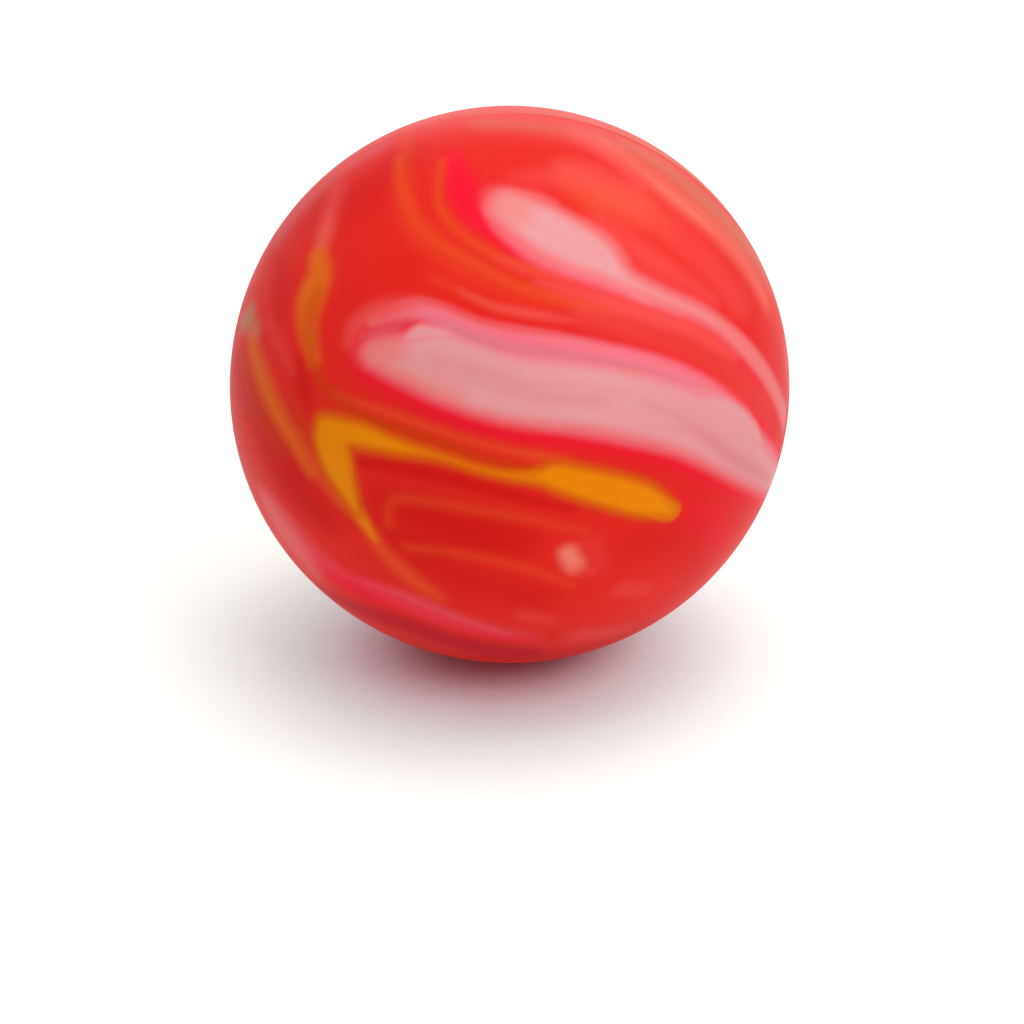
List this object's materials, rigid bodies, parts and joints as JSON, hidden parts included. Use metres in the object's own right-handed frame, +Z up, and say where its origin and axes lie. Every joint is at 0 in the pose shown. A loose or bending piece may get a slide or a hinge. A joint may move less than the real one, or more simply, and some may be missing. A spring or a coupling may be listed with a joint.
{
  "type": "squishy ball",
  "caption": "Soft hollow play ball of marbled red rubber, made of half shells cemented rim to rim, that squashes in the hand and springs back.",
  "frame": {"origin": "On the table, in the middle of the flat that the ball rests on, under its centre.", "axes": "+Z is up. -Y is the face that the picture shows, and +X is to its right. The seam between the halves stands upright in the XZ plane."},
  "size_m": [0.06, 0.06, 0.0591],
  "materials": {
    "red_rubber": "satin, smooth moulded rubber with a soft sheen",
    "cement": "satin, cured rubber cement",
    "pale_rubber": "satin, smooth moulded rubber with a soft sheen",
    "rose_rubber": "satin, smooth moulded rubber with a soft sheen",
    "amber_rubber": "satin, smooth moulded rubber with a soft sheen",
    "ochre_rubber": "satin, smooth moulded rubber with a soft sheen",
    "salmon_rubber": "satin, smooth moulded rubber with a soft sheen",
    "tan_rubber": "satin, smooth moulded rubber with a soft sheen",
    "orange_rubber": "satin, smooth moulded rubber with a soft sheen",
    "rust_rubber": "satin, smooth moulded rubber with a soft sheen",
    "light_red_rubber": "satin, smooth moulded rubber with a soft sheen"
  },
  "bodies": {
    "rear_half": {"rear_half_shell": "red_rubber", "seam_cement": "cement", "rear_pale_ribbon": "pale_rubber", "rear_rose_fringe": "rose_rubber", "rear_amber_ribbon": "amber_rubber", "rear_salmon_band": "salmon_rubber", "rear_ochre_streak": "ochre_rubber", "rear_veins": "orange_rubber"},
    "front_half": {"front_half_shell": "red_rubber", "main_pale_ribbon": "pale_rubber", "rose_fringe": "rose_rubber", "upper_pale_ribbon": "pale_rubber", "amber_hook": "amber_rubber", "ochre_streak": "ochre_rubber", "left_amber_streak": "ochre_rubber", "lower_pink_band": "rose_rubber", "salmon_band": "salmon_rubber", "tan_patch": "tan_rubber", "pale_spot": "salmon_rubber", "orange_veins": "orange_rubber", "rust_veins": "rust_rubber", "red_veins": "light_red_rubber"}
  },
  "joints": [
    {"name": "squeeze", "type": "slide", "parent": "rear_half", "child": "front_half", "axis": [0, 1, 0], "range_m": [0, 0.015], "stiffness_N_per_m": 1600, "deforming": ["front_half_shell", "main_pale_ribbon", "rose_fringe", "upper_pale_ribbon", "amber_hook", "ochre_streak", "left_amber_streak", "lower_pink_band", "salmon_band", "tan_patch", "pale_spot", "orange_veins", "rust_veins", "red_veins", "rear_half_shell", "seam_cement", "rear_pale_ribbon", "rear_rose_fringe", "rear_amber_ribbon", "rear_salmon_band", "rear_ochre_streak", "rear_veins"]}
  ]
}
